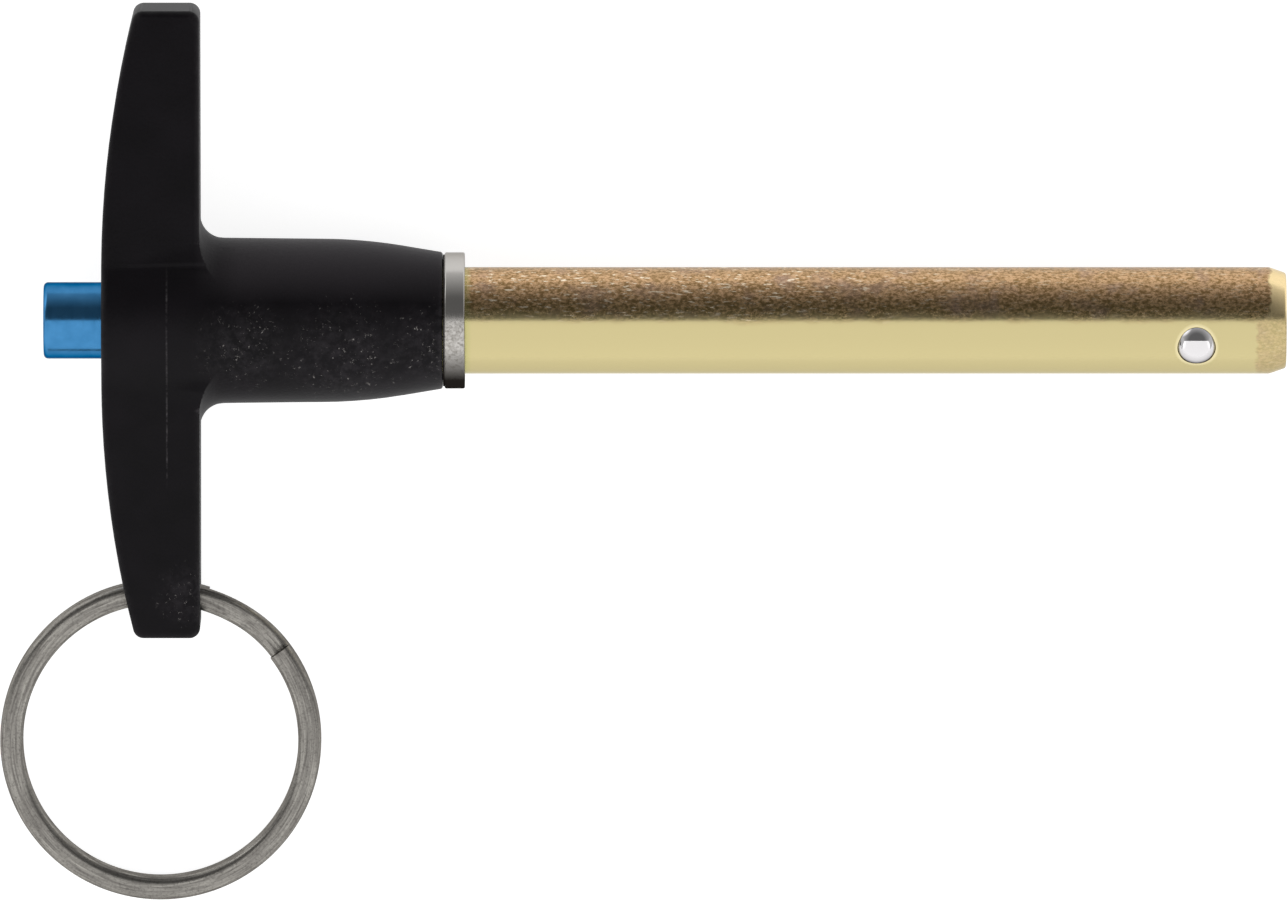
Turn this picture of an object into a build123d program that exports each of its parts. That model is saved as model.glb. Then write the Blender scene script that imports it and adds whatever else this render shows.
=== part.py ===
from build123d import *
import os
from math import asin, atan2, cos, degrees, hypot, pi, radians, sin, sqrt, tan

os.makedirs("parts", exist_ok=True)

# A push-button ball lock pin lying on its side, in millimetres.
# X runs along the pin: 0 is the face of the collar that stops against the work, + is the lead end.
# +Z is up. The pin's axis is level, at the height of the handle's hub above the table.

# Shank
shank_diameter = 9.47
shank_length = 72.9
lead_length = 1.5
lead_angle = 19.0
lead_round = 0.3
tail_length = 20.0
tail_chamfer = 0.4
grip_groove_width = 1.4
grip_groove_depth = 0.45
grip_groove_places = (-6.5, -12.5)

# Collar
collar_wall = 1.315
collar_length = 1.8
collar_edge = 0.15

# Locking balls
ball_diameter = 3.97
ball_to_tip = 8.0
ball_proud = 0.83
ball_angle = 31.0
ball_flush_depth = 0.03
lip_clearance = 0.085
pocket_clearance = 0.035
ball_clearance = 0.02

# Spindle and button
stroke = 4.2
spindle_clearance = 0.06
shoulder_to_ball = 10.5
spindle_recess = 0.3
spindle_edge = 0.25
stem_diameter = 2.2
stem_clearance = 0.1
button_diameter = 6.8
button_clearance = 0.1
button_proud = 5.18
button_guide = 6.3
button_round = 0.4
button_bore_depth = 8.0

# Return spring
spring_wire = 0.6
spring_diameter = 6.1
spring_turns = 7
spring_clearance = 0.25
spring_pocket_depth = 11.0

# T-handle
handle_span = 55.95
handle_thickness = 8.72
handle_depth = 12.5
handle_end_depth = 8.7
handle_outer_face = -32.22
handle_flat = 4.8
handle_crown_radius = 92.0
handle_corner = 0.95
handle_rim = 0.65
hub_diameter = 14.76
hub_blend = 5.0
neck_diameter = 14.7
neck_fillet = 2.1
neck_draft = 0.6
neck_taper_start = -12.87
neck_curve_radius = 45.0
neck_taper = 9.5
neck_gap = 0.17
neck_edge = 0.25
ring_hole_diameter = 4.4
ring_hole_to_end = 3.3
ring_hole_edge = 0.3

# Split key ring: one wire wound twice round
ring_outer_diameter = 28.55
ring_wire_width = 2.05
ring_wire_height = 1.42
ring_wire_round = 0.7
ring_coil_gap = 0.04
ring_seat = 0.45
ring_shift = 0.8
ring_end_angle = 37.0
ring_slope_arc = 35.0
ring_slope_sections = 8

# How far a cutting shape runs past what it cuts, and how near counts as the same when edges are picked
overrun = 2.0
match = 0.01

# Worked out from the sizes above
shank_radius = shank_diameter / 2
ball_radius = ball_diameter / 2
ball_centre = shank_radius + ball_proud - ball_radius
ball_travel = ball_proud + ball_flush_depth
ball_place = shank_length - ball_to_tip
lip_radius = sqrt(ball_radius**2 - (shank_radius - ball_centre) ** 2) + lip_clearance
pocket_radius = ball_radius + pocket_clearance
spindle_radius = ball_centre - ball_radius - ball_clearance
spindle_bore = spindle_radius + spindle_clearance
spindle_shoulder = ball_place - shoulder_to_ball
stem_radius = stem_diameter / 2
stem_bore = stem_radius + stem_clearance
button_radius = button_diameter / 2
button_bore = button_radius + button_clearance
button_inner_end = handle_outer_face + button_guide
stem_end = button_inner_end - button_bore_depth
spring_radius = (spring_diameter - spring_wire) / 2
spring_pocket = spring_diameter / 2 + spring_clearance
spring_floor = spring_pocket_depth - tail_length
hub_radius = hub_diameter / 2
half_span = handle_span / 2
arm_middle = handle_depth / 2
arm_end = handle_end_depth / 2
arm_taper = atan2(arm_middle - arm_end, half_span)
ring_hole_place = half_span - ring_hole_to_end
handle_inner_face = handle_outer_face + handle_thickness
neck_end = -collar_length - neck_gap
ring_radius = (ring_outer_diameter - ring_wire_width) / 2
ring_level = (ring_wire_height + ring_coil_gap) / 2
floor_height = -hub_radius


def turned(outline):
    """A solid of revolution about the pin's axis, from (x, radius) points and curves."""
    profile = make_face(outline)
    return revolve(profile, Axis.X, 360)


def tilt_to_floor(reach, half_height, drop):
    """The angle at which a corner that far out and that far down comes to lie at the drop."""
    return degrees(asin(drop / hypot(reach, half_height)) - atan2(half_height, reach))


def ball_line(side):
    """A plane on the pin's axis whose normal points along a ball's radial hole."""
    angle = radians(ball_angle)
    outward = (0, -side * sin(angle), side * cos(angle))
    return Plane(origin=(ball_place, 0, 0), x_dir=(1, 0, 0), z_dir=outward)


# The handle rolls on its hub until the arm that holds the ring comes down on the table.
handle_roll = tilt_to_floor(
    half_span - handle_rim,
    arm_end - handle_rim / cos(arm_taper) + handle_rim * tan(arm_taper),
    hub_radius - handle_rim,
)


def handle_outline():
    """The T-bar seen along its depth: flat inner face, crowned outer face, rounded corners."""
    crown_rise = handle_crown_radius - sqrt(handle_crown_radius**2 - (half_span - handle_flat) ** 2)
    end_x = handle_outer_face + crown_rise
    inner = Line((handle_inner_face, -half_span), (handle_inner_face, half_span))
    upper_end = Line((handle_inner_face, half_span), (end_x, half_span))
    flat = Line((handle_outer_face, handle_flat), (handle_outer_face, -handle_flat))
    upper_crown = TangentArc((handle_outer_face, handle_flat), (end_x, half_span), tangent=(0, 1))
    lower_crown = TangentArc((handle_outer_face, -handle_flat), (end_x, -half_span), tangent=(0, -1))
    lower_end = Line((end_x, -half_span), (handle_inner_face, -half_span))
    face = make_face([inner, upper_end, upper_crown, flat, lower_crown, lower_end])
    corners = face.vertices().filter_by(lambda v: abs(v.Y) > half_span - match)
    return fillet(corners, handle_corner)


def handle_prism(length):
    """The T-bar's shape seen along the pin: arms that thin towards their ends and the round hub between."""
    plane = Plane(origin=(handle_outer_face - overrun, 0, 0), x_dir=(0, 1, 0), z_dir=(1, 0, 0))
    reach = half_span + overrun
    end = arm_end - overrun * tan(arm_taper)
    arms = Polygon((-reach, end), (-reach, -end), (0, -arm_middle), (reach, -end), (reach, end), (0, arm_middle), align=None)
    face = arms + Circle(hub_radius)
    valleys = face.vertices().filter_by(lambda v: abs(v.X) < hub_radius)
    return extrude(plane * fillet(valleys, hub_blend), length)


def make_neck():
    """The round neck, flaring into the T-bar at one end and tapering to the collar at the other."""
    curve = radians(neck_taper)
    flare_end = handle_inner_face + neck_fillet
    flare_radius = neck_diameter / 2
    start_radius = flare_radius - (neck_taper_start - flare_end) * tan(radians(neck_draft))
    curve_x = neck_taper_start + neck_curve_radius * sin(curve)
    curve_r = start_radius - neck_curve_radius * (1 - cos(curve))
    end_radius = curve_r - (neck_end - curve_x) * tan(curve)
    back = handle_inner_face - 2 * handle_rim
    reach = flare_radius + neck_fillet
    inside = Polyline(
        (neck_end, end_radius), (neck_end, 0), (back, 0), (back, reach), (handle_inner_face, reach)
    )
    flare = RadiusArc((handle_inner_face, reach), (flare_end, flare_radius), -neck_fillet)
    drafted = Line((flare_end, flare_radius), (neck_taper_start, start_radius))
    rounded = TangentArc((neck_taper_start, start_radius), (curve_x, curve_r), tangent=(1, 0))
    tapered = Line((curve_x, curve_r), (neck_end, end_radius))
    neck = turned([inside, flare, drafted, rounded, tapered])
    return fillet(neck.edges().group_by(Axis.X)[-1], neck_edge)


def make_bar():
    """The T-bar with its edges rounded and the ring's hole through one arm."""
    bar = extrude(handle_outline(), 2 * hub_radius, both=True) & handle_prism(handle_thickness + 2 * overrun)
    level = bar.edges().filter_by(Axis.Z, reverse=True)
    lengthwise = level.filter_by(Axis.X).filter_by(lambda edge: abs(edge.center().Y) < half_span - match)
    bar = fillet(level - lengthwise, handle_rim)
    hole = Pos(handle_outer_face, -ring_hole_place, 0) * Rot(Y=90)
    bar -= hole * Cylinder(ring_hole_diameter / 2, 2 * (handle_thickness + overrun))
    walls = bar.faces().filter_by(GeomType.CYLINDER)
    wall = walls.filter_by(lambda face: abs(face.radius - ring_hole_diameter / 2) < match)
    return fillet(wall.edges().filter_by(GeomType.LINE, reverse=True), ring_hole_edge)


def make_handle():
    """The moulding: the neck swells into the T-bar and is cut off by the bar's front and back."""
    neck = make_neck() & handle_prism(neck_end - handle_outer_face + 2 * overrun)
    handle = make_bar() + neck - make_tail_space()
    return Rot(X=handle_roll) * handle


def make_tail_space():
    """The room inside the handle: the moulding fits the pin's tail, and the button slides behind it."""
    tail = turned(tail_outline(0))
    bore_length = -tail_length - handle_outer_face + 2 * overrun
    bore = Pos(handle_outer_face - overrun, 0, 0) * Rot(Y=90) * Cylinder(
        button_bore, bore_length, align=(Align.CENTER, Align.CENTER, Align.MIN)
    )
    return tail + bore


def tail_outline(lead):
    """The outside of the pin from its tail to the collar's face, then on by the lead."""
    points = [(-tail_length, 0), (-tail_length, shank_radius - tail_chamfer)]
    points.append((tail_chamfer - tail_length, shank_radius))
    for place in sorted(grip_groove_places):
        low = shank_radius - grip_groove_depth
        start = place - grip_groove_width / 2
        end = place + grip_groove_width / 2
        points += [(start, shank_radius), (start, low), (end, low), (end, shank_radius)]
    points += [(lead, shank_radius), (lead, 0), (-tail_length, 0)]
    return Polyline(*points)


def make_pin_body():
    outside = turned(tail_outline(shank_length))
    tip_drop = lead_length * tan(radians(lead_angle))
    lead = Polyline(
        (shank_length - lead_length, shank_radius),
        (shank_length, shank_radius - tip_drop),
        (shank_length, shank_radius + overrun),
        (shank_length - lead_length, shank_radius + overrun),
        (shank_length - lead_length, shank_radius),
    )
    body = outside - turned(lead)
    body = fillet(body.edges().group_by(Axis.X)[-1], lead_round)
    bores = Polyline(
        (-tail_length, 0),
        (-tail_length, spring_pocket),
        (spring_floor, spring_pocket),
        (spring_floor, stem_bore),
        (spindle_shoulder, stem_bore),
        (spindle_shoulder, spindle_bore),
        (shank_length, spindle_bore),
        (shank_length, 0),
        (-tail_length, 0),
    )
    body -= turned(bores)
    for side in (1, -1):
        body -= make_ball_pocket(side)
    return body


def make_ball_pocket(side):
    """A radial hole that the ball slides in, ending in a lip that the ball can't pass."""
    line = ball_line(side)
    bottom = (Align.CENTER, Align.CENTER, Align.MIN)
    hole = line * Cylinder(pocket_radius, ball_centre, align=bottom)
    seat = line * Pos(Z=ball_centre) * Sphere(pocket_radius)
    lip = line * Pos(Z=ball_centre) * Cylinder(lip_radius, shank_radius, align=bottom)
    return hole + seat + lip


def make_ball(side):
    return ball_line(side) * Pos(Z=ball_centre) * Sphere(ball_radius)


def make_collar():
    along = Rot(Y=90)
    back = (Align.CENTER, Align.CENTER, Align.MAX)
    ring = along * Cylinder(shank_radius + collar_wall, collar_length, align=back)
    ring = chamfer(ring.edges().filter_by(GeomType.CIRCLE), collar_edge)
    return ring - along * Cylinder(shank_radius, 2 * (collar_length + overrun))


def make_spindle():
    """A rod whose groove follows the balls: a ramp at the ratio of ball travel to stroke, then a round."""
    offset = ball_radius + ball_clearance
    slope = atan2(ball_travel, stroke)
    sunk_x = ball_place - stroke
    sunk_r = ball_centre - ball_travel
    ramp_foot = (sunk_x + offset * sin(slope), sunk_r - offset * cos(slope))
    ramp_top_x = ramp_foot[0] + (spindle_radius - ramp_foot[1]) / tan(slope)
    wall_x = sunk_x - sqrt(offset**2 - (sunk_r - spindle_radius) ** 2)
    round_bottom = (sunk_x, sunk_r - offset)
    tip = shank_length - spindle_recess
    front = Polyline(
        ramp_foot,
        (ramp_top_x, spindle_radius),
        (tip - spindle_edge, spindle_radius),
        (tip, spindle_radius - spindle_edge),
        (tip, 0),
        (stem_end, 0),
        (stem_end, stem_radius - spindle_edge),
        (stem_end + spindle_edge, stem_radius),
        (spindle_shoulder, stem_radius),
        (spindle_shoulder, spindle_radius),
        (wall_x, spindle_radius),
    )
    sunk_seat = ThreePointArc((wall_x, spindle_radius), round_bottom, ramp_foot)
    return turned([front, sunk_seat])


def make_button():
    outer_end = handle_outer_face - button_proud
    length = button_inner_end - outer_end
    bottom = (Align.CENTER, Align.CENTER, Align.MIN)
    button = Pos(X=outer_end) * Rot(Y=90) * Cylinder(button_radius, length, align=bottom)
    button = fillet(button.edges().group_by(Axis.X)[0], button_round)
    button = chamfer(button.edges().group_by(Axis.X)[-1], spindle_edge)
    bore = Pos(X=stem_end) * Rot(Y=90) * Cylinder(stem_radius, button_bore_depth, align=bottom)
    return button - bore


def make_spring():
    length = spring_floor - button_inner_end - spring_wire
    start = button_inner_end + spring_wire / 2
    path = Helix(length / spring_turns, length, spring_radius)
    section = Plane(origin=path @ 0, z_dir=path % 0) * Circle(spring_wire / 2)
    return Pos(X=start) * Rot(Y=90) * sweep(section, path=path, is_frenet=True)


def ring_section(angle, level):
    """The wire's section, standing across the wire at that angle round the ring."""
    turn = radians(angle)
    outward = (cos(turn), sin(turn), 0)
    along = (sin(turn), -cos(turn), 0)
    plane = Plane(origin=Vector(outward) * ring_radius + Vector(0, 0, level), x_dir=outward, z_dir=along)
    return plane * RectangleRounded(ring_wire_width, ring_wire_height, ring_wire_round)


def make_key_ring():
    """A flat upper turn and lower turn, and the slope where the wire steps down between them."""
    start = ring_end_angle + ring_slope_arc
    flat_arc = 360 - ring_slope_arc
    slope = []
    for step in range(ring_slope_sections + 1):
        share = step / ring_slope_sections
        level = ring_level * cos(pi * share)
        slope.append(ring_section(start - ring_slope_arc * share, level))
    upper = revolve(ring_section(start, ring_level), Axis.Z, flat_arc)
    lower = revolve(ring_section(start, -ring_level), Axis.Z, flat_arc)
    return upper + loft(slope) + lower


def ring_place():
    """Where the ring lies: through its hole, with its far edge down on the table."""
    roll = radians(handle_roll)
    hole = Vector(handle_outer_face, -ring_hole_place * cos(roll), -ring_hole_place * sin(roll))
    hang = ring_radius - ring_seat
    far = hang + ring_radius + ring_wire_width / 2 - ring_wire_round
    half_height = ring_level + ring_wire_height / 2 - ring_wire_round
    tilt = tilt_to_floor(far, half_height, hole.Z - floor_height - ring_wire_round)
    down = radians(tilt)
    arm_x = (handle_inner_face + handle_outer_face) / 2 + ring_shift
    centre = (arm_x, hole.Y - hang * cos(down), hole.Z - hang * sin(down))
    return Pos(*centre) * Rot(X=tilt)


pieces = {
    "t_handle": make_handle(),
    "pin_body": make_pin_body(),
    "shoulder_collar": make_collar(),
    "return_spring": make_spring(),
    "spindle": make_spindle(),
    "push_button": make_button(),
    "lock_ball_front": make_ball(1),
    "lock_ball_rear": make_ball(-1),
    "key_ring": ring_place() * make_key_ring(),
}
for name, piece in pieces.items():
    piece.label = name
    export_step(piece, f"parts/{name}.step")
    print(name, round(piece.volume, 2))
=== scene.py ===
from math import atan2, cos, degrees, hypot, pi, radians, sin, sqrt, tan

import bpy
from mathutils import Matrix, Vector


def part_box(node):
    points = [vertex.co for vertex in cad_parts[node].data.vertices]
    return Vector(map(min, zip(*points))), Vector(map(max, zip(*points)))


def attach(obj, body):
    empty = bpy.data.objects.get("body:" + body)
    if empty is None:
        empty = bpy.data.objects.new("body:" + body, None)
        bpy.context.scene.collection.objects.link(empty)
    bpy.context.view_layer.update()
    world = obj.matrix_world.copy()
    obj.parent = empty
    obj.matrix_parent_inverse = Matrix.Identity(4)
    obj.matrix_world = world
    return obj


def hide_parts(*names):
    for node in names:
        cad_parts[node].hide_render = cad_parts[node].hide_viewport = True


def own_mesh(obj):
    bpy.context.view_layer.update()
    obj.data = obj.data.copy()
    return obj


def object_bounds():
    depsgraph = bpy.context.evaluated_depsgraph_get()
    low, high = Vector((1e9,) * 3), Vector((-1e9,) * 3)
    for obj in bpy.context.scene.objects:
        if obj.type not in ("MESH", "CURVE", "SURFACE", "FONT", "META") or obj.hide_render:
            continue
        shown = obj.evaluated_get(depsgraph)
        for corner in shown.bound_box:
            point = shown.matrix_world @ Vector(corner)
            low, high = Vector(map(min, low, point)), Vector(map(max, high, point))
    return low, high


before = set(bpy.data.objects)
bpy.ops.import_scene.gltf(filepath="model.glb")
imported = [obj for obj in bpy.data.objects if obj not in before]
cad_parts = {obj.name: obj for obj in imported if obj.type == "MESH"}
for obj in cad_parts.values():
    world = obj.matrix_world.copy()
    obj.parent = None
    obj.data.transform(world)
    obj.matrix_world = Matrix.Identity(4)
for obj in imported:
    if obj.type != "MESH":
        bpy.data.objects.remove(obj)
cadBox = [list(corner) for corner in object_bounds()]
mm = 0.001  # the scene is in metres, and the sizes below are in millimetres, with angles in degrees
joinWithin = 0.0005  # points nearer than this become one


def boxOf(node):
    # the lowest and highest x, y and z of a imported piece
    return [[value / mm for value in corner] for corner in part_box(node)]


def deselectAll():
    if bpy.context.object and bpy.context.object.mode != "OBJECT":
        bpy.ops.object.mode_set(mode="OBJECT")
    bpy.ops.object.select_all(action="DESELECT")


def makeActive(piece):
    deselectAll()
    piece.select_set(True)
    bpy.context.view_layer.objects.active = piece


def newPiece(name):
    piece = bpy.context.active_object
    piece.name = name
    piece.data.name = name
    return piece


def settle(piece, smoothAngle):
    # the place goes into the mesh, doubles are merged, faces turned outward, and shallow edges smoothed
    makeActive(piece)
    bpy.ops.object.transform_apply(location=True, rotation=True, scale=True)
    bpy.ops.object.mode_set(mode="EDIT")
    bpy.ops.mesh.select_all(action="SELECT")
    bpy.ops.mesh.remove_doubles(threshold=joinWithin * mm)
    bpy.ops.mesh.normals_make_consistent(inside=False)
    bpy.ops.object.mode_set(mode="OBJECT")
    bpy.ops.object.shade_smooth_by_angle(angle=radians(smoothAngle))
    return piece


def arc(centre, radius, start, end, steps):
    # points on an arc, its angles in degrees
    points = []
    for step in range(steps + 1):
        turn = radians(start + (end - start) * step / steps)
        points.append((centre[0] + radius * cos(turn), centre[1] + radius * sin(turn)))
    return points


def turnPiece(name, points, steps, axis=(1, 0, 0), closed=True, smoothAngle=30):
    # as on a lathe: one vertex is pushed on from point to point, along x and up z, then spun round the axis
    deselectAll()
    first = points[0]
    bpy.ops.mesh.primitive_plane_add(size=mm, location=(first[0] * mm, 0, first[1] * mm))
    piece = newPiece(name)
    bpy.ops.object.transform_apply(location=True, rotation=False, scale=False)
    bpy.ops.object.mode_set(mode="EDIT")
    bpy.ops.mesh.select_all(action="SELECT")
    bpy.ops.mesh.merge(type="CENTER")
    last = first
    for point in points[1:] + ([first] if closed else []):
        move = ((point[0] - last[0]) * mm, 0, (point[1] - last[1]) * mm)
        bpy.ops.mesh.extrude_vertices_move(TRANSFORM_OT_translate={"value": move})
        last = point
    bpy.ops.mesh.select_all(action="SELECT")
    bpy.ops.mesh.remove_doubles(threshold=joinWithin * mm)
    bpy.ops.mesh.select_all(action="SELECT")
    bpy.ops.mesh.spin(steps=steps, angle=2 * pi, center=(0, 0, 0), axis=axis)
    bpy.ops.object.mode_set(mode="OBJECT")
    return settle(piece, smoothAngle)


def cutWith(piece, cutter):
    makeActive(piece)
    cut = piece.modifiers.new("cut", "BOOLEAN")
    cut.object = cutter
    cut.operation = "DIFFERENCE"
    cut.solver = "EXACT"
    bpy.ops.object.modifier_apply(modifier=cut.name)
    bpy.data.objects.remove(cutter)


def drawCurve(name, points, closed):
    line = bpy.data.curves.new(name, "CURVE")
    line.dimensions = "3D"
    spline = line.splines.new("POLY")
    spline.points.add(len(points) - 1)
    for point, place in zip(spline.points, points):
        point.co = (*(Vector(place) * mm), 1)
    spline.use_cyclic_u = closed
    spline.use_smooth = True
    piece = bpy.data.objects.new(name, line)
    bpy.context.collection.objects.link(piece)
    return piece


def sweepWire(name, path, section, twist, smoothAngle=35):
    # the wire's section is pushed along its path and both ends are closed
    outline = drawCurve(name + "Section", section, True)
    wire = drawCurve(name, path, False)
    wire.data.twist_mode = twist
    wire.data.bevel_mode = "OBJECT"
    wire.data.bevel_object = outline
    wire.data.use_fill_caps = True
    makeActive(wire)
    bpy.ops.object.convert(target="MESH")
    wire = newPiece(name)
    bpy.data.objects.remove(outline)
    return settle(wire, smoothAngle)


def finishPiece(piece, material, body, node):
    piece.data.materials.clear()
    piece.data.materials.append(material)
    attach(piece, body)
    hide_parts(node)


def colour(hexCode):
    # an sRGB hex value turned to linear
    values = []
    for place in (1, 3, 5):
        value = int(hexCode[place:place + 2], 16) / 255
        values.append(value / 12.92 if value <= 0.04045 else ((value + 0.055) / 1.055) ** 2.4)
    return (*values, 1.0)


def addNode(tree, kind, settings=None, links=None):
    # a key that names or numbers one of the node's sockets sets that socket, and any other sets the node
    node = tree.nodes.new(kind)
    for key, value in (settings or {}).items():
        if isinstance(key, int) or key in node.inputs.keys():
            node.inputs[key].default_value = value
        else:
            setattr(node, key, value)
    for key, source in (links or {}).items():
        tree.links.new(source, node.inputs[key])
    return node


def startMaterial(name, settings):
    material = bpy.data.materials.new(name)
    material.use_nodes = True
    tree = material.node_tree
    shader = tree.nodes["Principled BSDF"]
    for key, value in settings.items():
        shader.inputs[key].default_value = value
    place = addNode(tree, "ShaderNodeTexCoord").outputs["Object"]
    return material, tree, shader, place


handleSettings = {
    "joinWithin": 0.001, "smoothAngle": 28,
    "shader": {"Roughness": 0.5, "IOR": 1.46, "Specular IOR Level": 0.11},
    # haze is the grey of the real smudges and also of the painted sheen on the neck's top
    "base": "#0a080b", "bloom": "#110e12", "rubbed": "#4c494b", "nick": "#aba7a3", "haze": "#4a464a",
    "cloud": 5.0, "cloudRange": {"From Min": 0.35, "From Max": 0.7},
    "neckFrom": -24.0, "neckTo": -20.0, "sheenFrom": 1.5, "sheenTo": 9.5,  # painted sheen: paler grey towards the neck's end and along its top
    "edgeReach": 0.9, "edgeRange": {"From Min": 0.85, "From Max": 0.5},
    "wear": 0.8, "wearRange": {"From Min": 0.4, "From Max": 0.68, "To Max": 0.7},
    "flashPlace": -26.4, "flashWidth": 0.16, "flashHeight": 0.03,
    "flashMiddle": -5.0, "flashFrom": 7.0, "flashTo": 10.0,  # it fades out this far from its middle
    "nickSize": 0.5, "nickRange": {"From Min": 0.61, "From Max": 0.69},
    "smudgeRange": {"From Min": 0.42, "From Max": 0.75, "To Max": 0.28},
    "handledPlaces": (  # the middle and the reach of each
        ((-10.6, -3.6, 6.3), 6.5), ((-19.5, -2.6, 6.6), 5.0), ((-3.2, -2.6, 5.8), 5.0),
        ((-24.6, -24.2, 1.0), 3.5),
    ),
    "handledCore": 0.3,  # the share of each reach that is fully handled
    "pebble": 0.3, "pebbleDepth": 0.02,  # really finer, and drawn so coarse to show
}


# Glass-filled nylon from a mould: dead matt and near black, with a faint pebble, a flash line where the
# mould's halves met, edges rubbed paler, dusty nicks where it is handled, and a painted sheen along the
# neck's top.
def makeNylon():
    s = handleSettings
    material, tree, shader, place = startMaterial("mouldedNylon", s["shader"])
    cloud = addNode(
        tree, "ShaderNodeTexNoise", {"Scale": 1 / (s["cloud"] * mm), "Detail": 4.0}, {"Vector": place},
    )
    cloudy = addNode(tree, "ShaderNodeMapRange", s["cloudRange"], {"Value": cloud.outputs["Fac"]})
    shade = addNode(
        tree, "ShaderNodeMix", {"data_type": "RGBA", 6: colour(s["base"]), 7: colour(s["bloom"])},
        {0: cloudy.outputs["Result"]},
    )

    parts = addNode(tree, "ShaderNodeSeparateXYZ", links={0: place})
    # painted sheen: the neck's top is made paler towards its end, for the light that catches it there
    neck = addNode(
        tree, "ShaderNodeMapRange", {"From Min": s["neckFrom"] * mm, "From Max": s["neckTo"] * mm},
        {"Value": parts.outputs["X"]},
    )
    upper = addNode(
        tree, "ShaderNodeMapRange", {"From Min": s["sheenFrom"] * mm, "From Max": s["sheenTo"] * mm},
        {"Value": parts.outputs["Y"]},
    )
    paintedSheen = addNode(
        tree, "ShaderNodeMath", {"operation": "MULTIPLY"},
        {0: neck.outputs["Result"], 1: upper.outputs["Result"]},
    )
    shade = addNode(
        tree, "ShaderNodeMix", {"data_type": "RGBA", 7: colour(s["haze"])},
        {0: paintedSheen.outputs["Value"], 6: shade.outputs[2]},
    )

    inside = addNode(
        tree, "ShaderNodeAmbientOcclusion",
        {"inside": True, "samples": 8, "Distance": s["edgeReach"] * mm},
    )
    edge = addNode(tree, "ShaderNodeMapRange", s["edgeRange"], {"Value": inside.outputs["AO"]})
    patchy = addNode(
        tree, "ShaderNodeTexNoise", {"Scale": 1 / (s["wear"] * mm), "Detail": 5.0, "Roughness": 0.7},
        {"Vector": place},
    )
    rubbing = addNode(tree, "ShaderNodeMapRange", s["wearRange"], {"Value": patchy.outputs["Fac"]})
    flash = addNode(
        tree, "ShaderNodeMath",
        {"operation": "COMPARE", 1: s["flashPlace"] * mm, 2: s["flashWidth"] / 2 * mm},
        {0: parts.outputs["X"]},
    )
    alongBar = addNode(
        tree, "ShaderNodeVectorMath",
        {"operation": "MULTIPLY_ADD", 1: (0, 1, 0), 2: (0, -s["flashMiddle"] * mm, 0)}, {0: place},
    )
    fromMiddle = addNode(tree, "ShaderNodeVectorMath", {"operation": "LENGTH"}, {0: alongBar.outputs["Vector"]})
    faded = addNode(
        tree, "ShaderNodeMapRange", {"From Min": s["flashTo"] * mm, "From Max": s["flashFrom"] * mm},
        {"Value": fromMiddle.outputs["Value"]},
    )
    flash = addNode(
        tree, "ShaderNodeMath", {"operation": "MULTIPLY"},
        {0: flash.outputs["Value"], 1: faded.outputs["Result"]},
    )
    raised = addNode(
        tree, "ShaderNodeMath", {"operation": "MAXIMUM"},
        {0: edge.outputs["Result"], 1: flash.outputs["Value"]},
    )
    rubbed = addNode(
        tree, "ShaderNodeMath", {"operation": "MULTIPLY"},
        {0: raised.outputs["Value"], 1: rubbing.outputs["Result"]},
    )
    shade = addNode(
        tree, "ShaderNodeMix", {"data_type": "RGBA", 7: colour(s["rubbed"])},
        {0: rubbed.outputs["Value"], 6: shade.outputs[2]},
    )

    nicks = addNode(
        tree, "ShaderNodeTexNoise", {"Scale": 1 / (s["nickSize"] * mm), "Detail": 6.0, "Roughness": 0.8},
        {"Vector": place},
    )
    nicked = addNode(tree, "ShaderNodeMapRange", s["nickRange"], {"Value": nicks.outputs["Fac"]})
    handled = None
    for middle, reach in s["handledPlaces"]:
        away = addNode(
            tree, "ShaderNodeVectorMath", {"operation": "DISTANCE", 1: [value * mm for value in middle]},
            {0: place},
        )
        near = addNode(
            tree, "ShaderNodeMapRange", {"From Min": reach * mm, "From Max": s["handledCore"] * reach * mm},
            {"Value": away.outputs["Value"]},
        )
        if handled:
            near = addNode(
                tree, "ShaderNodeMath", {"operation": "MAXIMUM"},
                {0: handled.outputs[0], 1: near.outputs[0]},
            )
        handled = near
    smudge = addNode(tree, "ShaderNodeMapRange", s["smudgeRange"], {"Value": patchy.outputs["Fac"]})
    smudged = addNode(
        tree, "ShaderNodeMath", {"operation": "MULTIPLY"},
        {0: smudge.outputs["Result"], 1: handled.outputs[0]},
    )
    shade = addNode(
        tree, "ShaderNodeMix", {"data_type": "RGBA", 7: colour(s["haze"])},
        {0: smudged.outputs["Value"], 6: shade.outputs[2]},
    )
    scuffed = addNode(
        tree, "ShaderNodeMath", {"operation": "MULTIPLY"},
        {0: nicked.outputs["Result"], 1: handled.outputs[0]},
    )
    shade = addNode(
        tree, "ShaderNodeMix", {"data_type": "RGBA", 7: colour(s["nick"])},
        {0: scuffed.outputs["Value"], 6: shade.outputs[2]},
    )
    tree.links.new(shade.outputs[2], shader.inputs["Base Color"])

    pebble = addNode(
        tree, "ShaderNodeTexNoise", {"Scale": 1 / (s["pebble"] * mm), "Detail": 4.0}, {"Vector": place},
    )
    grain = addNode(
        tree, "ShaderNodeBump", {"Distance": s["pebbleDepth"] * mm}, {"Height": pebble.outputs["Fac"]},
    )
    ridge = addNode(
        tree, "ShaderNodeBump", {"Distance": s["flashHeight"] * mm},
        {"Height": flash.outputs["Value"], "Normal": grain.outputs["Normal"]},
    )
    tree.links.new(ridge.outputs["Normal"], shader.inputs["Normal"])
    return material


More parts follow.
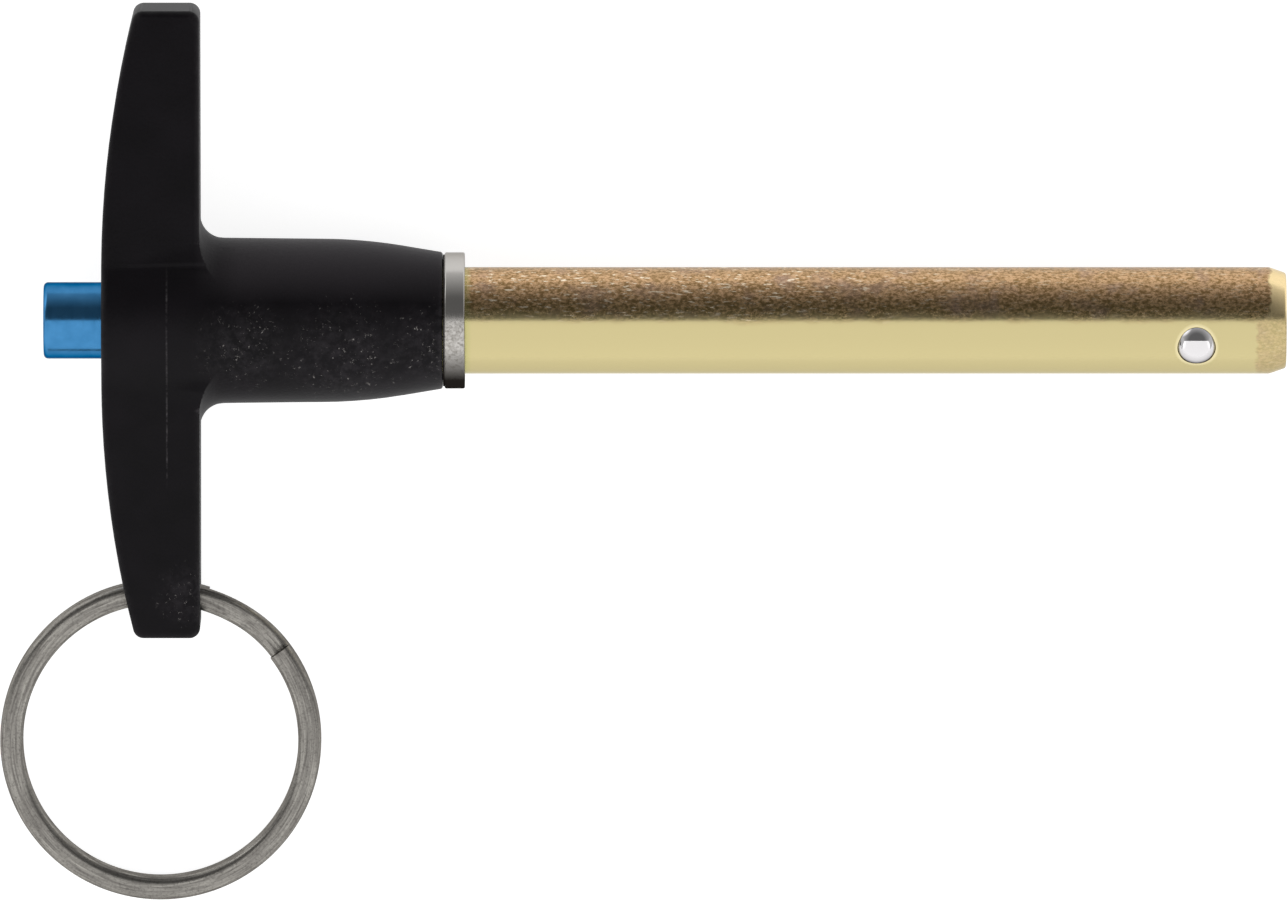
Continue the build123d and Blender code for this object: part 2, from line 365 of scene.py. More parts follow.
def makeHandle():
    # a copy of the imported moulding, with its loose triangles joined so that its rounds shade smoothly
    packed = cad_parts["t_handle"]
    handle = bpy.data.objects.new("mouldedHandle", packed.data.copy())
    bpy.context.collection.objects.link(handle)
    makeActive(handle)
    bpy.ops.object.mode_set(mode="EDIT")
    bpy.ops.mesh.select_all(action="SELECT")
    bpy.ops.mesh.remove_doubles(threshold=handleSettings["joinWithin"] * mm)
    bpy.ops.object.mode_set(mode="OBJECT")
    bpy.ops.object.shade_smooth_by_angle(angle=radians(handleSettings["smoothAngle"]))
    return handle


finishPiece(makeHandle(), makeNylon(), "pin", "t_handle")
print("handle made")


# the balls' settings come before the shank, whose holes are cut to them
ballSettings = {
    "place": [sum(pair) / 2 for pair in zip(*boxOf("lock_ball_front"))], "radius": 1.985, "steps": 144,
    "smoothAngle": 60,
    "pocketClearance": 0.035, "lip": 1.70, "pocketSteps": 96, "lipSteps": 10, "cutterPast": 1.5,  # past the skin
    "shader": {"Metallic": 1.0, "Base Color": colour("#d2d0d1"), "Specular Tint": colour("#5a585c")},
    "haze": 0.5, "hazeDepth": 0.0006,
    "hazeRange": {"From Min": 0.35, "From Max": 0.75, "To Min": 0.05, "To Max": 0.14},
}
ballSettings["out"] = hypot(ballSettings["place"][1], ballSettings["place"][2])
ballSettings["turn"] = atan2(-ballSettings["place"][1], ballSettings["place"][2])


def ballMiddle(side):
    # the front ball is on side 1, and the rear one straight across the pin from it
    x, y, z = ballSettings["place"]
    return Vector((x, side * y, side * z)) * mm


shankSettings = {
    "radius": 4.735, "tip": boxOf("pin_body")[1][0], "tail": boxOf("pin_body")[0][0],
    "leadLength": 1.5, "leadAngle": 19.0, "leadRound": 0.3, "leadSteps": 6, "cornerRound": 0.08,
    "tailChamfer": 0.4, "bore": 1.635, "boreEdge": 0.15, "boreDepth": 18.5, "stemBore": 1.2,
    "springPocket": 3.3, "pocketDepth": 11.0, "steps": 256, "smoothAngle": 25,
    "shader": {"Metallic": 1.0, "Specular Tint": colour("#e3e1da")},
    "straw": "#bdb183", "bronze": "#8a6d46", "copper": "#d2ac84", "olive": "#85804c", "mauve": "#a0877d",
    "bare": "#f6e6cc", "leadHighlight": "#f1daa6", "green": "#a9aa6c", "rim": "#dcd0a6", "holeShade": "#1c1916",
    "drift": 3.0, "driftDepth": 1.6, "bronzeAndReflectionFrom": 0.5, "bronzeAndReflectionTo": 1.7,  # where straw turns to bronze: partly the film, partly a painted reflection
    "pitting": 0.9, "leadFrom": 71.9, "leadEdge": 0.25, "leadWander": 1.2, "leadSooner": 1.2,
    "leadShare": 0.45, "leadBronzeShare": 0.1,
    "speckle": 0.26, "speckleRun": 1.5, "speckleDepth": 0.02,  # really finer, and drawn so coarse to show
    "speckleRange": {"From Min": 0.41, "From Max": 0.59},
    "dullRange": {"From Min": 0.3, "From Max": 0.7, "To Min": 0.14, "To Max": 0.36},
    "strawRoughness": 0.2, "strawDepth": 0.03,
    "oliveFrom": 2.2, "oliveTo": 1.0, "oliveShare": 0.35,
    "bloom": 2.4, "bloomRange": {"From Min": 0.52, "From Max": 0.75, "To Max": 0.6},
    "scratchLength": 0.9, "scratchWidth": 0.17, "scratchTurn": 24,  # really finer, and drawn so wide to show
    "scratchRange": {"From Min": 0.59, "From Max": 0.66},
    "scratchedTo": 36.0, "scratchFade": 9.0, "scratchLeast": 0.3,
    "collarStain": 0.6, "stainShare": 0.6,
    "skin": 4.68, "rimFrom": 2.3, "rimTo": 2.12, "rimShare": 0.7,  # the staked rims of the ball holes
}


# Steel, turned and then yellow zinc plated: pale straw and even on one side, and on the other bronze and
# speckled, a split that is partly the film and partly a painted reflection, with short bright scratches and
# a mauve bloom in the film. The lead end is pitted, and on the bronze side its chamfer is painted pale as a
# painted highlight; the film is green by the collar, and the ball holes are painted dark inside, a painted
# shade, within a bright staked rim.
def makeYellowZinc():
    s = shankSettings
    material, tree, shader, place = startMaterial("yellowZincPlatedSteel", s["shader"])
    parts = addNode(tree, "ShaderNodeSeparateXYZ", links={0: place})
    drift = addNode(
        tree, "ShaderNodeTexNoise", {"Scale": 1 / (s["drift"] * mm), "Detail": 4.0}, {"Vector": place},
    )
    shifted = addNode(
        tree, "ShaderNodeMath", {"operation": "MULTIPLY_ADD", 1: s["driftDepth"] * mm},
        {0: drift.outputs["Fac"], 2: parts.outputs["Y"]},
    )
    # partly painted reflection: the straw-to-bronze split across y is partly the film and partly a painted
    # reflection of the light's edge
    side = addNode(
        tree, "ShaderNodeMapRange", {"From Min": s["bronzeAndReflectionFrom"] * mm, "From Max": s["bronzeAndReflectionTo"] * mm},
        {"Value": shifted.outputs["Value"]},
    )
    pitting = addNode(
        tree, "ShaderNodeTexNoise", {"Scale": 1 / (s["pitting"] * mm), "Detail": 4.0}, {"Vector": place},
    )
    leadward = addNode(
        tree, "ShaderNodeMath", {"operation": "MULTIPLY_ADD", 1: s["leadWander"] * mm},
        {0: pitting.outputs["Fac"], 2: parts.outputs["X"]},
    )
    sooner = addNode(
        tree, "ShaderNodeMapRange", {"To Min": s["leadSooner"] * mm, "To Max": 0.0},
        {"Value": side.outputs["Result"]},
    )
    leadward = addNode(
        tree, "ShaderNodeMath", {"operation": "ADD"},
        {0: leadward.outputs["Value"], 1: sooner.outputs["Result"]},
    )
    lead = addNode(
        tree, "ShaderNodeMapRange",
        {"From Min": s["leadFrom"] * mm, "From Max": (s["leadFrom"] + s["leadEdge"]) * mm},
        {"Value": leadward.outputs["Value"]},
    )
    leadRough = addNode(
        tree, "ShaderNodeMapRange", {"To Min": s["leadShare"], "To Max": s["leadBronzeShare"]},
        {"Value": side.outputs["Result"]},
    )
    rough = addNode(
        tree, "ShaderNodeMix", {"data_type": "FLOAT"},
        {0: lead.outputs["Result"], 2: side.outputs["Result"], 3: leadRough.outputs["Result"]},
    )
    run = addNode(tree, "ShaderNodeMapping", {"Scale": (1 / s["speckleRun"], 1, 1)}, {"Vector": place})
    speckle = addNode(
        tree, "ShaderNodeTexNoise", {"Scale": 1 / (s["speckle"] * mm), "Detail": 4.0, "Roughness": 0.7},
        {"Vector": run.outputs["Vector"]},
    )
    mottle = addNode(tree, "ShaderNodeMapRange", s["speckleRange"], {"Value": speckle.outputs["Fac"]})
    mottled = addNode(
        tree, "ShaderNodeMix", {"data_type": "RGBA", 6: colour(s["bronze"]), 7: colour(s["copper"])},
        {0: mottle.outputs["Result"]},
    )
    inner = addNode(
        tree, "ShaderNodeMapRange",
        {"From Min": s["oliveFrom"] * mm, "From Max": s["oliveTo"] * mm, "To Max": s["oliveShare"]},
        {"Value": parts.outputs["Y"]},
    )
    mottled = addNode(
        tree, "ShaderNodeMix", {"data_type": "RGBA", 7: colour(s["olive"])},
        {0: inner.outputs["Result"], 6: mottled.outputs[2]},
    )
    # painted highlight: on the bronze side the lead chamfer is painted pale
    leadHighlightMask = addNode(
        tree, "ShaderNodeMath", {"operation": "MULTIPLY"},
        {0: lead.outputs["Result"], 1: side.outputs["Result"]},
    )
    film = addNode(
        tree, "ShaderNodeMix", {"data_type": "RGBA", 6: colour(s["straw"]), 7: colour(s["leadHighlight"])},
        {0: leadHighlightMask.outputs["Value"]},
    )
    film = addNode(
        tree, "ShaderNodeMix", {"data_type": "RGBA"},
        {0: rough.outputs[0], 6: film.outputs[2], 7: mottled.outputs[2]},
    )

    bloom = addNode(
        tree, "ShaderNodeTexNoise", {"Scale": 1 / (s["bloom"] * mm), "Detail": 5.0}, {"Vector": place},
    )
    blooming = addNode(tree, "ShaderNodeMapRange", s["bloomRange"], {"Value": bloom.outputs["Fac"]})
    bloomed = addNode(
        tree, "ShaderNodeMath", {"operation": "MULTIPLY"},
        {0: blooming.outputs["Result"], 1: rough.outputs[0]},
    )
    film = addNode(
        tree, "ShaderNodeMix", {"data_type": "RGBA", 7: colour(s["mauve"])},
        {0: bloomed.outputs["Value"], 6: film.outputs[2]},
    )

    long, fine = 1 / (s["scratchLength"] * mm), 1 / (s["scratchWidth"] * mm)
    slanted = addNode(
        tree, "ShaderNodeMapping",
        {"Rotation": (0, 0, radians(s["scratchTurn"])), "Scale": (long, fine, long)},
        {"Vector": place},
    )
    scratches = addNode(
        tree, "ShaderNodeTexNoise", {"Scale": 1.0, "Detail": 3.0, "Roughness": 0.6},
        {"Vector": slanted.outputs["Vector"]},
    )
    scratch = addNode(tree, "ShaderNodeMapRange", s["scratchRange"], {"Value": scratches.outputs["Fac"]})
    handled = addNode(
        tree, "ShaderNodeMapRange",
        {
            "From Min": (s["scratchedTo"] + s["scratchFade"]) * mm,
            "From Max": (s["scratchedTo"] - s["scratchFade"]) * mm, "To Min": s["scratchLeast"],
        },
        {"Value": parts.outputs["X"]},
    )
    scratch = addNode(
        tree, "ShaderNodeMath", {"operation": "MULTIPLY"},
        {0: scratch.outputs["Result"], 1: handled.outputs["Result"]},
    )
    scratched = addNode(
        tree, "ShaderNodeMath", {"operation": "MULTIPLY"},
        {0: scratch.outputs["Value"], 1: rough.outputs[0]},
    )
    film = addNode(
        tree, "ShaderNodeMix", {"data_type": "RGBA", 7: colour(s["bare"])},
        {0: scratched.outputs["Value"], 6: film.outputs[2]},
    )

    stain = addNode(
        tree, "ShaderNodeMapRange",
        {"From Min": s["collarStain"] * mm, "From Max": 0.0, "To Max": s["stainShare"]},
        {"Value": parts.outputs["X"]},
    )
    film = addNode(
        tree, "ShaderNodeMix", {"data_type": "RGBA", 7: colour(s["green"])},
        {0: stain.outputs["Result"], 6: film.outputs[2]},
    )

    gaps = []
    for middle in (ballMiddle(1), ballMiddle(-1)):
        gaps.append(addNode(tree, "ShaderNodeVectorMath", {"operation": "DISTANCE", 1: middle}, {0: place}))
    nearest = addNode(
        tree, "ShaderNodeMath", {"operation": "MINIMUM"},
        {0: gaps[0].outputs["Value"], 1: gaps[1].outputs["Value"]},
    )
    staked = addNode(
        tree, "ShaderNodeMapRange",
        {"From Min": s["rimFrom"] * mm, "From Max": s["rimTo"] * mm, "To Max": s["rimShare"]},
        {"Value": nearest.outputs["Value"]},
    )
    film = addNode(
        tree, "ShaderNodeMix", {"data_type": "RGBA", 7: colour(s["rim"])},
        {0: staked.outputs["Result"], 6: film.outputs[2]},
    )
    # painted shade: the hole walls inside the skin are painted near black, for the shade between ball and lip
    radial = addNode(tree, "ShaderNodeVectorMath", {"operation": "MULTIPLY", 1: (0, 1, 1)}, {0: place})
    depth = addNode(tree, "ShaderNodeVectorMath", {"operation": "LENGTH"}, {0: radial.outputs["Vector"]})
    under = addNode(
        tree, "ShaderNodeMath", {"operation": "LESS_THAN", 1: s["skin"] * mm},
        {0: depth.outputs["Value"]},
    )
    holes = addNode(
        tree, "ShaderNodeMath", {"operation": "LESS_THAN", 1: s["rimFrom"] * mm},
        {0: nearest.outputs["Value"]},
    )
    holeShadeMask = addNode(
        tree, "ShaderNodeMath", {"operation": "MULTIPLY"},
        {0: under.outputs["Value"], 1: holes.outputs["Value"]},
    )
    film = addNode(
        tree, "ShaderNodeMix", {"data_type": "RGBA", 7: colour(s["holeShade"])},
        {0: holeShadeMask.outputs["Value"], 6: film.outputs[2]},
    )
    tree.links.new(film.outputs[2], shader.inputs["Base Color"])

    dulled = addNode(tree, "ShaderNodeMapRange", s["dullRange"], {"Value": speckle.outputs["Fac"]})
    gloss = addNode(
        tree, "ShaderNodeMix", {"data_type": "FLOAT", 2: s["strawRoughness"]},
        {0: rough.outputs[0], 3: dulled.outputs["Result"]},
    )
    tree.links.new(gloss.outputs[0], shader.inputs["Roughness"])
    deep = addNode(tree, "ShaderNodeMapRange", {"To Min": s["strawDepth"]}, {"Value": rough.outputs[0]})
    pits = addNode(
        tree, "ShaderNodeBump", {"Distance": s["speckleDepth"] * mm},
        {"Height": speckle.outputs["Fac"], "Strength": deep.outputs["Result"]},
    )
    tree.links.new(pits.outputs["Normal"], shader.inputs["Normal"])
    return material


def makeShank():
    s = shankSettings
    slope = radians(s["leadAngle"])
    leadStart = s["tip"] - s["leadLength"]
    tipRadius = s["radius"] - s["leadLength"] * tan(slope)
    roundMiddle = (s["tip"] - s["leadRound"], tipRadius - s["leadRound"] * tan(pi / 4 - slope / 2))
    soft = s["cornerRound"]
    pocketEnd = s["tail"] + s["pocketDepth"]
    boreEnd = s["tip"] - s["boreDepth"]
    profile = [(s["tail"], s["springPocket"]), (s["tail"], s["radius"] - s["tailChamfer"])]
    profile += [(s["tail"] + s["tailChamfer"], s["radius"]), (leadStart - soft, s["radius"])]
    profile += [(leadStart + soft * cos(slope), s["radius"] - soft * sin(slope))]
    profile += arc(roundMiddle, s["leadRound"], 90 - s["leadAngle"], 0, s["leadSteps"])
    profile += [(s["tip"], s["bore"] + s["boreEdge"]), (s["tip"] - s["boreEdge"], s["bore"])]
    profile += [(boreEnd, s["bore"]), (boreEnd, s["stemBore"])]
    profile += [(pocketEnd, s["stemBore"]), (pocketEnd, s["springPocket"])]
    shank = turnPiece("platedShank", profile, s["steps"])
    for half in (0, pi):
        cutter = makePocketCutter()
        turn = Matrix.Rotation(ballSettings["turn"] + half, 4, "X")
        cutter.data.transform(Matrix.Translation((ballSettings["place"][0] * mm, 0, 0)) @ turn)
        cutWith(shank, cutter)
    return settle(shank, s["smoothAngle"])


def makePocketCutter():
    # the shape of a ball's radial hole: a bore, the round it is staked to, and the lip at the skin
    b = ballSettings
    pocket = b["radius"] + b["pocketClearance"]
    lipTurn = degrees(atan2(sqrt(pocket ** 2 - b["lip"] ** 2), b["lip"]))
    top = shankSettings["radius"] + b["cutterPast"]
    outline = [(0, 0), (pocket, 0)] + arc((0, b["out"]), pocket, 0, lipTurn, b["lipSteps"])
    outline += [(b["lip"], top), (0, top)]
    return turnPiece("ballPocket", outline, b["pocketSteps"], axis=(0, 0, 1), closed=False)


finishPiece(makeShank(), makeYellowZinc(), "pin", "pin_body")
print("shank made")


# Through-hardened bearing steel, lapped: close to a mirror, with a trace of handling haze.
def makeBearingSteel():
    s = ballSettings
    material, tree, shader, place = startMaterial("lappedBearingSteel", s["shader"])
    haze = addNode(
        tree, "ShaderNodeTexNoise", {"Scale": 1 / (s["haze"] * mm), "Detail": 4.0}, {"Vector": place},
    )
    gloss = addNode(tree, "ShaderNodeMapRange", s["hazeRange"], {"Value": haze.outputs["Fac"]})
    tree.links.new(gloss.outputs["Result"], shader.inputs["Roughness"])
    swirl = addNode(
        tree, "ShaderNodeBump", {"Distance": s["hazeDepth"] * mm}, {"Height": haze.outputs["Fac"]},
    )
    tree.links.new(swirl.outputs["Normal"], shader.inputs["Normal"])
    return material


def makeBall(name, side):
    # a half circle spun round the pin's axis
    b = ballSettings
    ball = turnPiece(name, arc((0, 0), b["radius"], 180, 0, b["steps"] // 2), b["steps"], closed=False)
    ball.location = ballMiddle(side)
    return settle(ball, b["smoothAngle"])


bearingSteel = makeBearingSteel()
finishPiece(makeBall("lockBallFront", 1), bearingSteel, "front_ball", "lock_ball_front")
finishPiece(makeBall("lockBallRear", -1), bearingSteel, "rear_ball", "lock_ball_rear")
print("balls made")


collarSettings = {
    "outer": 6.05, "bore": 4.745, "edge": 0.16, "edgeSteps": 5, "steps": 192,
    "face": boxOf("shoulder_collar")[1][0], "back": boxOf("shoulder_collar")[0][0],
    "step": 5.85, "stepLength": 0.14, "stepFrom": 0.02,
    "shader": {"Specular IOR Level": 0.0, "Specular Tint": colour("#c8c6c3")},
    "smooth": "#b9b6b2", "bright": "#b4b1ad", "cloud": "#77736d", "darkSideAndJointShadow": "#211e1c",
    "pit": 0.3, "pitRange": {"From Min": 0.4, "From Max": 0.7},
    "smoothFrom": -0.5, "smoothTo": 0.8, "wander": 0.8, "darkSideFrom": -2.2, "darkSideTo": -4.9,
    "dullRange": {"From Min": 0.35, "From Max": 0.7, "To Min": 0.2, "To Max": 0.45}, "smoothRoughness": 0.18,
    "ring": 0.12, "ringStretch": 120, "ringDepth": 0.0015,
}


# Low-carbon steel, turned and left bare: satin grey with fine tool rings, brown-black towards its -y
# side, and painted dark at the joint behind it as a painted shadow.
def makeBareSteel():
    s = collarSettings
    material, tree, shader, place = startMaterial("bareTurnedSteel", s["shader"])
    cloud = addNode(
        tree, "ShaderNodeTexNoise", {"Scale": 1 / (s["pit"] * mm), "Detail": 5.0, "Roughness": 0.7},
        {"Vector": place},
    )
    cloudy = addNode(tree, "ShaderNodeMapRange", s["pitRange"], {"Value": cloud.outputs["Fac"]})
    shade = addNode(
        tree, "ShaderNodeMix", {"data_type": "RGBA", 6: colour(s["bright"]), 7: colour(s["cloud"])},
        {0: cloudy.outputs["Result"]},
    )
    parts = addNode(tree, "ShaderNodeSeparateXYZ", links={0: place})
    upper = addNode(
        tree, "ShaderNodeMapRange", {"From Min": s["smoothFrom"] * mm, "From Max": s["smoothTo"] * mm},
        {"Value": parts.outputs["Y"]},
    )
    shade = addNode(
        tree, "ShaderNodeMix", {"data_type": "RGBA", 7: colour(s["smooth"])},
        {0: upper.outputs["Result"], 6: shade.outputs[2]},
    )
    wander = addNode(
        tree, "ShaderNodeMath", {"operation": "MULTIPLY_ADD", 1: s["wander"] * mm},
        {0: cloud.outputs["Fac"], 2: parts.outputs["Y"]},
    )
    # brown-black towards -y
    low = addNode(
        tree, "ShaderNodeMapRange", {"From Min": s["darkSideFrom"] * mm, "From Max": s["darkSideTo"] * mm},
        {"Value": wander.outputs["Value"]},
    )
    # painted shadow: the step behind the collar is painted dark, for the shade in the joint
    jointShadow = addNode(
        tree, "ShaderNodeMath", {"operation": "LESS_THAN", 1: (s["back"] - s["stepFrom"]) * mm},
        {0: parts.outputs["X"]},
    )
    dark = addNode(
        tree, "ShaderNodeMath", {"operation": "MAXIMUM"},
        {0: low.outputs["Result"], 1: jointShadow.outputs["Value"]},
    )
    shade = addNode(
        tree, "ShaderNodeMix", {"data_type": "RGBA", 7: colour(s["darkSideAndJointShadow"])},
        {0: dark.outputs["Value"], 6: shade.outputs[2]},
    )
    tree.links.new(shade.outputs[2], shader.inputs["Base Color"])
    metal = addNode(tree, "ShaderNodeMath", {"operation": "SUBTRACT", 0: 1.0}, {1: dark.outputs["Value"]})
    tree.links.new(metal.outputs["Value"], shader.inputs["Metallic"])
    dull = addNode(tree, "ShaderNodeMapRange", s["dullRange"], {"Value": cloud.outputs["Fac"]})
    gloss = addNode(
        tree, "ShaderNodeMix", {"data_type": "FLOAT", 3: s["smoothRoughness"]},
        {0: upper.outputs["Result"], 2: dull.outputs["Result"]},
    )
    tree.links.new(gloss.outputs[0], shader.inputs["Roughness"])
    along = addNode(
        tree, "ShaderNodeMapping",
        {"Scale": (1 / (s["ring"] * mm), s["ringStretch"], s["ringStretch"])}, {"Vector": place},
    )
    rings = addNode(
        tree, "ShaderNodeTexNoise", {"Scale": 1.0, "Detail": 2.0}, {"Vector": along.outputs["Vector"]},
    )
    cut = addNode(
        tree, "ShaderNodeBump", {"Distance": s["ringDepth"] * mm}, {"Height": rings.outputs["Fac"]},
    )
    tree.links.new(cut.outputs["Normal"], shader.inputs["Normal"])
    return material


def makeCollar():
    # the step at its back fills the joint with the moulding, and is painted dark as a painted shadow in that
    # joint
    s = collarSettings
    level = s["outer"] - s["edge"]
    profile = [(s["face"], s["bore"])]
    profile += arc((s["face"] - s["edge"], level), s["edge"], 0, 90, s["edgeSteps"])
    profile += arc((s["back"] + s["edge"], level), s["edge"], 90, 180, s["edgeSteps"])
    profile += [(s["back"], s["step"]), (s["back"] - s["stepLength"], s["step"])]
    profile += [(s["back"] - s["stepLength"], s["bore"])]
    return turnPiece("shoulderRing", profile, s["steps"])


finishPiece(makeCollar(), makeBareSteel(), "pin", "shoulder_collar")
print("collar made")


buttonSettings = {
    "radius": 3.4, "outer": boxOf("push_button")[0][0], "inner": boxOf("push_button")[1][0], "edge": 0.4,
    "edgeSteps": 8, "innerEdge": 0.25, "bore": 1.1, "boreDepth": 8.0, "dimple": 0.9, "dimpleDepth": 0.05,
    "steps": 160,
    "shader": {"Metallic": 1.0, "Specular Tint": colour("#8c98a6")},
    "dye": "#417eae", "deep": "#3874a3", "cloud": 1.2, "cloudRange": {"From Min": 0.35, "From Max": 0.7},
    "ring": 0.09, "ringStretch": 150, "ringDepth": 0.0012,
    "ringRange": {"From Min": 0.3, "From Max": 0.7, "To Min": 0.14, "To Max": 0.24},
}


# Aluminium, turned and anodised blue: a clear even dye over bright metal, with fine tool rings.
def makeBlueAnodised():
    s = buttonSettings
    material, tree, shader, place = startMaterial("blueAnodisedAluminium", s["shader"])
    cloud = addNode(
        tree, "ShaderNodeTexNoise", {"Scale": 1 / (s["cloud"] * mm), "Detail": 4.0}, {"Vector": place},
    )
    cloudy = addNode(tree, "ShaderNodeMapRange", s["cloudRange"], {"Value": cloud.outputs["Fac"]})
    dye = addNode(
        tree, "ShaderNodeMix", {"data_type": "RGBA", 6: colour(s["dye"]), 7: colour(s["deep"])},
        {0: cloudy.outputs["Result"]},
    )
    tree.links.new(dye.outputs[2], shader.inputs["Base Color"])
    along = addNode(
        tree, "ShaderNodeMapping",
        {"Scale": (1 / (s["ring"] * mm), s["ringStretch"], s["ringStretch"])}, {"Vector": place},
    )
    rings = addNode(
        tree, "ShaderNodeTexNoise", {"Scale": 1.0, "Detail": 2.0}, {"Vector": along.outputs["Vector"]},
    )
    gloss = addNode(tree, "ShaderNodeMapRange", s["ringRange"], {"Value": rings.outputs["Fac"]})
    tree.links.new(gloss.outputs["Result"], shader.inputs["Roughness"])
    cut = addNode(
        tree, "ShaderNodeBump", {"Distance": s["ringDepth"] * mm}, {"Height": rings.outputs["Fac"]},
    )
    tree.links.new(cut.outputs["Normal"], shader.inputs["Normal"])
    return material


def makeButton():
    s = buttonSettings
    boreEnd = s["inner"] - s["boreDepth"]
    profile = [(boreEnd, 0), (boreEnd, s["bore"]), (s["inner"], s["bore"])]
    profile += [(s["inner"], s["radius"] - s["innerEdge"]), (s["inner"] - s["innerEdge"], s["radius"])]
    profile += arc((s["outer"] + s["edge"], s["radius"] - s["edge"]), s["edge"], 90, 180, s["edgeSteps"])
    profile += [(s["outer"], s["dimple"]), (s["outer"] + s["dimpleDepth"], s["dimple"] / 3)]
    profile += [(s["outer"] + s["dimpleDepth"], 0)]
    return turnPiece("anodisedButton", profile, s["steps"], closed=False)


finishPiece(makeButton(), makeBlueAnodised(), "plunger", "push_button")
print("button made")


ringSettings = {
    "middle": (-27.06, -37.2286, -4.28447), "tilt": 7.02857, "radius": 13.25, "width": 2.05, "height": 1.42,
    "round": 0.7, "roundSteps": 7, "level": 0.73, "end": 37.0, "slope": 35.0, "step": 2.5,
    "endBevel": 0.12, "bevelSteps": 2, "bevelAngle": 60, "smoothAngle": 35,
    "shader": {"Metallic": 1.0, "Specular Tint": colour("#b4b2af")},
    "bright": "#98958f", "dull": "#6b6864", "pitted": "#4d4a47",
    "line": 0.14, "lineLength": 3.0, "lineDepth": 0.004,  # really finer, and drawn so coarse to show
    "lineRange": {"From Min": 0.34, "From Max": 0.68}, "glossRange": {"To Min": 0.4, "To Max": 0.24},
    "upShare": 0.25,
    "grain": 0.22, "grainDepth": 0.01, "grainRange": {"From Min": 0.48, "From Max": 0.72, "To Max": 0.7},
}


# Spring steel wire, drawn and coiled: dull grey with drawing lines that follow the wire round, and the
# fine pits of tumbling.
def makeDrawnSteel():
    s = ringSettings
    material, tree, shader, place = startMaterial("drawnSpringSteel", s["shader"])
    middle = [value * mm for value in s["middle"]]
    centred = addNode(tree, "ShaderNodeVectorMath", {"operation": "SUBTRACT", 1: middle}, {0: place})
    laidFlat = addNode(
        tree, "ShaderNodeMapping", {"Rotation": (-radians(s["tilt"]), 0, 0)},
        {"Vector": centred.outputs["Vector"]},
    )
    level = addNode(
        tree, "ShaderNodeVectorMath", {"operation": "MULTIPLY", 1: (1, 1, 0)},
        {0: laidFlat.outputs["Vector"]},
    )
    outward = addNode(tree, "ShaderNodeVectorMath", {"operation": "LENGTH"}, {0: level.outputs["Vector"]})
    around = addNode(tree, "ShaderNodeVectorMath", {"operation": "NORMALIZE"}, {0: level.outputs["Vector"]})
    aroundParts = addNode(tree, "ShaderNodeSeparateXYZ", links={0: around.outputs["Vector"]})
    flatParts = addNode(tree, "ShaderNodeSeparateXYZ", links={0: laidFlat.outputs["Vector"]})
    closeness = s["lineLength"] / (s["line"] * s["radius"] * mm)
    across = addNode(
        tree, "ShaderNodeMath", {"operation": "MULTIPLY", 1: closeness}, {0: outward.outputs["Value"]},
    )
    up = addNode(
        tree, "ShaderNodeMath", {"operation": "MULTIPLY", 1: closeness * s["upShare"]},
        {0: flatParts.outputs["Z"]},
    )
    wound = addNode(
        tree, "ShaderNodeCombineXYZ",
        links={0: aroundParts.outputs["X"], 1: aroundParts.outputs["Y"], 2: across.outputs["Value"]},
    )
    lines = addNode(
        tree, "ShaderNodeTexNoise",
        {"noise_dimensions": "4D", "Scale": s["radius"] / s["lineLength"], "Detail": 4.0},
        {"Vector": wound.outputs["Vector"], "W": up.outputs["Value"]},
    )
    streak = addNode(tree, "ShaderNodeMapRange", s["lineRange"], {"Value": lines.outputs["Fac"]})
    shade = addNode(
        tree, "ShaderNodeMix", {"data_type": "RGBA", 6: colour(s["dull"]), 7: colour(s["bright"])},
        {0: streak.outputs["Result"]},
    )
    grain = addNode(
        tree, "ShaderNodeTexNoise", {"Scale": 1 / (s["grain"] * mm), "Detail": 4.0, "Roughness": 0.7},
        {"Vector": place},
    )
    pitted = addNode(tree, "ShaderNodeMapRange", s["grainRange"], {"Value": grain.outputs["Fac"]})
    shade = addNode(
        tree, "ShaderNodeMix", {"data_type": "RGBA", 7: colour(s["pitted"])},
        {0: pitted.outputs["Result"], 6: shade.outputs[2]},
    )
    tree.links.new(shade.outputs[2], shader.inputs["Base Color"])
    gloss = addNode(tree, "ShaderNodeMapRange", s["glossRange"], {"Value": streak.outputs["Result"]})
    tree.links.new(gloss.outputs["Result"], shader.inputs["Roughness"])
    tumbled = addNode(
        tree, "ShaderNodeBump", {"Distance": s["grainDepth"] * mm}, {"Height": grain.outputs["Fac"]},
    )
    drawn = addNode(
        tree, "ShaderNodeBump", {"Distance": s["lineDepth"] * mm},
        {"Height": lines.outputs["Fac"], "Normal": tumbled.outputs["Normal"]},
    )
    tree.links.new(drawn.outputs["Normal"], shader.inputs["Normal"])
    return material


